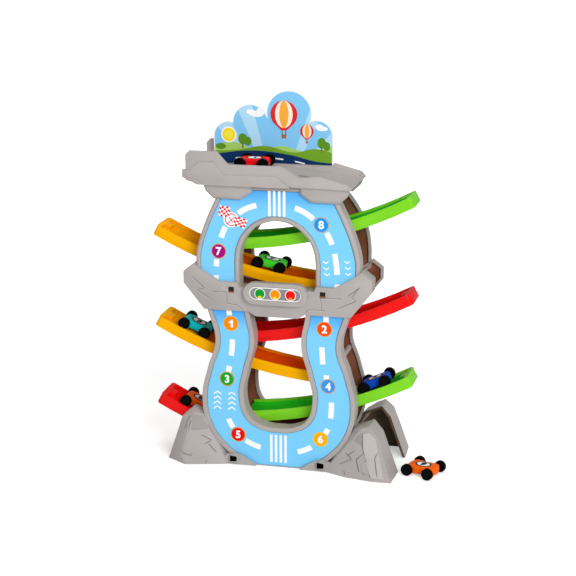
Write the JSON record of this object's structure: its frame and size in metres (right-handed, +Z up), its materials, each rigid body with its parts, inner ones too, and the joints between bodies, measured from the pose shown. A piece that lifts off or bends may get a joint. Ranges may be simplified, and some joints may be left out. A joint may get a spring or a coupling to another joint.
{
  "type": "toy car tower",
  "caption": "Toy car tower: a launch deck over curved ramps that zigzag between two grey road panels, with small flip cars that roll down them.",
  "frame": {"origin": "on the floor under the middle of the front panel's foot", "axes": "+X to the right as seen from the front, where the launch deck lets the cars go; +Y to the back; +Z up"},
  "size_m": [0.3527, 0.1244, 0.4396],
  "materials": {
    "stone_grey": "satin",
    "road_blue": "printed film",
    "light_dark": "printed film",
    "plate_print": "printed",
    "track_green": "glossy",
    "track_yellow": "glossy",
    "track_red": "glossy",
    "car_red": "glossy",
    "car_green": "glossy",
    "car_teal": "glossy",
    "car_blue": "glossy",
    "car_orange": "glossy",
    "wheel_black": "satin",
    "screw_steel": "zinc plated"
  },
  "bodies": {
    "tower": {"assembly_screw_1": "screw_steel", "assembly_screw_2": "screw_steel", "assembly_screw_3": "screw_steel", "assembly_screw_4": "screw_steel", "assembly_screw_5": "screw_steel", "assembly_screw_6": "screw_steel", "assembly_screw_7": "screw_steel", "belt_back": "stone_grey", "belt_front": "stone_grey", "launch_deck": "stone_grey", "lower_back_panel": "stone_grey", "lower_front_panel": "stone_grey", "ramp_1_green": "track_green", "ramp_2_yellow": "track_yellow", "ramp_3_red": "track_red", "ramp_4_yellow": "track_yellow", "ramp_5_green": "track_green", "ramp_6_red": "track_red", "road_label_lower": "road_blue", "road_label_upper": "road_blue", "rock_back_left": "stone_grey", "rock_back_right": "stone_grey", "rock_front_left": "stone_grey", "rock_front_right": "stone_grey", "scene_plate": "plate_print", "traffic_light_plate": "light_dark", "upper_back_panel": "stone_grey", "upper_front_panel": "stone_grey"},
    "red_car_body": {"red_car_body_top": "car_red", "red_car_body_bottom": "car_red"},
    "red_car_front_wheels": {"red_car_front_wheels": "wheel_black"},
    "red_car_rear_wheels": {"red_car_rear_wheels": "wheel_black"},
    "green_car_body": {"green_car_body_top": "car_green", "green_car_body_bottom": "car_green"},
    "green_car_front_wheels": {"green_car_front_wheels": "wheel_black"},
    "green_car_rear_wheels": {"green_car_rear_wheels": "wheel_black"},
    "teal_car_body": {"teal_car_body_top": "car_teal", "teal_car_body_bottom": "car_teal"},
    "teal_car_front_wheels": {"teal_car_front_wheels": "wheel_black"},
    "teal_car_rear_wheels": {"teal_car_rear_wheels": "wheel_black"},
    "blue_car_body": {"blue_car_body_top": "car_blue", "blue_car_body_bottom": "car_blue"},
    "blue_car_front_wheels": {"blue_car_front_wheels": "wheel_black"},
    "blue_car_rear_wheels": {"blue_car_rear_wheels": "wheel_black"},
    "orange_car_body": {"orange_car_body_top": "car_orange", "orange_car_body_bottom": "car_orange"},
    "orange_car_front_wheels": {"orange_car_front_wheels": "wheel_black"},
    "orange_car_rear_wheels": {"orange_car_rear_wheels": "wheel_black"},
    "floor_car_body": {"floor_car_body_top": "car_orange", "floor_car_body_bottom": "car_orange"},
    "floor_car_front_wheels": {"floor_car_front_wheels": "wheel_black"},
    "floor_car_rear_wheels": {"floor_car_rear_wheels": "wheel_black"}
  },
  "joints": [
    {"name": "green_car_roll", "type": "hinge", "parent": "tower", "child": "green_car_body", "pos_m": [0.08, 0.032, 0.7094], "axis": [0, 1, 0], "range_deg": [-6.9, 12.6]},
    {"name": "green_car_front_wheels_spin", "type": "hinge", "parent": "green_car_body", "child": "green_car_front_wheels", "pos_m": [-0.00328, 0.032, 0.23688], "axis": [0, 1, 0], "continuous": true},
    {"name": "green_car_rear_wheels_spin", "type": "hinge", "parent": "green_car_body", "child": "green_car_rear_wheels", "pos_m": [-0.02992, 0.032, 0.24236], "axis": [0, 1, 0], "continuous": true},
    {"name": "teal_car_roll", "type": "hinge", "parent": "tower", "child": "teal_car_body", "pos_m": [0.08, 0.032, 0.5981], "axis": [0, 1, 0], "range_deg": [-18.5, 1.05]},
    {"name": "teal_car_front_wheels_spin", "type": "hinge", "parent": "teal_car_body", "child": "teal_car_front_wheels", "pos_m": [-0.0965, 0.032, 0.15194], "axis": [0, 1, 0], "continuous": true},
    {"name": "teal_car_rear_wheels_spin", "type": "hinge", "parent": "teal_car_body", "child": "teal_car_rear_wheels", "pos_m": [-0.1215, 0.032, 0.16266], "axis": [0, 1, 0], "continuous": true},
    {"name": "blue_car_roll", "type": "hinge", "parent": "tower", "child": "blue_car_body", "pos_m": [-0.08, 0.032, 0.5432], "axis": [0, -1, 0], "range_deg": [-17.4, 0.9]},
    {"name": "blue_car_front_wheels_spin", "type": "hinge", "parent": "blue_car_body", "child": "blue_car_front_wheels", "pos_m": [0.12249, 0.032, 0.10822], "axis": [0, -1, 0], "continuous": true},
    {"name": "blue_car_rear_wheels_spin", "type": "hinge", "parent": "blue_car_body", "child": "blue_car_rear_wheels", "pos_m": [0.09751, 0.032, 0.09745], "axis": [0, -1, 0], "continuous": true},
    {"name": "orange_car_roll", "type": "hinge", "parent": "tower", "child": "orange_car_body", "pos_m": [0.08, 0.032, 0.5005], "axis": [0, 1, 0], "range_deg": [-17.3, 1.05]},
    {"name": "orange_car_front_wheels_spin", "type": "hinge", "parent": "orange_car_body", "child": "orange_car_front_wheels", "pos_m": [-0.0965, 0.032, 0.05434], "axis": [0, 1, 0], "continuous": true},
    {"name": "orange_car_rear_wheels_spin", "type": "hinge", "parent": "orange_car_body", "child": "orange_car_rear_wheels", "pos_m": [-0.1215, 0.032, 0.06506], "axis": [0, 1, 0], "continuous": true},
    {"name": "red_car_roll", "type": "slide", "parent": "tower", "child": "red_car_body", "axis": [1, 0, 0], "range_m": [-0.03, 0.024]},
    {"name": "red_car_front_wheels_spin", "type": "hinge", "parent": "red_car_body", "child": "red_car_front_wheels", "pos_m": [-0.0227, 0.032, 0.3589], "axis": [0, 1, 0], "continuous": true},
    {"name": "red_car_rear_wheels_spin", "type": "hinge", "parent": "red_car_body", "child": "red_car_rear_wheels", "pos_m": [-0.0499, 0.032, 0.3589], "axis": [0, 1, 0], "continuous": true},
    {"name": "floor_car_roll", "type": "slide", "parent": "tower", "child": "floor_car_body", "axis": [0.9397, -0.342, 0], "range_m": [-0.005, 0.12]},
    {"name": "floor_car_front_wheels_spin", "type": "hinge", "parent": "floor_car_body", "child": "floor_car_front_wheels", "pos_m": [0.18378, 0.00535, 0.0069], "axis": [0.342, 0.9397, 0], "continuous": true},
    {"name": "floor_car_rear_wheels_spin", "type": "hinge", "parent": "floor_car_body", "child": "floor_car_rear_wheels", "pos_m": [0.15822, 0.01465, 0.0069], "axis": [0.342, 0.9397, 0], "continuous": true}
  ],
  "couplings": [
    {"joint": "green_car_front_wheels_spin", "follows": "green_car_roll", "ratio": -70.58},
    {"joint": "green_car_rear_wheels_spin", "follows": "green_car_roll", "ratio": -70.58},
    {"joint": "teal_car_front_wheels_spin", "follows": "teal_car_roll", "ratio": -70.58},
    {"joint": "teal_car_rear_wheels_spin", "follows": "teal_car_roll", "ratio": -70.58},
    {"joint": "blue_car_front_wheels_spin", "follows": "blue_car_roll", "ratio": -70.58},
    {"joint": "blue_car_rear_wheels_spin", "follows": "blue_car_roll", "ratio": -70.58},
    {"joint": "orange_car_front_wheels_spin", "follows": "orange_car_roll", "ratio": -70.58},
    {"joint": "orange_car_rear_wheels_spin", "follows": "orange_car_roll", "ratio": -70.58},
    {"joint": "red_car_front_wheels_spin", "follows": "red_car_roll", "rad_per_m": 144.93},
    {"joint": "red_car_rear_wheels_spin", "follows": "red_car_roll", "rad_per_m": 144.93},
    {"joint": "floor_car_front_wheels_spin", "follows": "floor_car_roll", "rad_per_m": 144.93},
    {"joint": "floor_car_rear_wheels_spin", "follows": "floor_car_roll", "rad_per_m": 144.93}
  ]
}
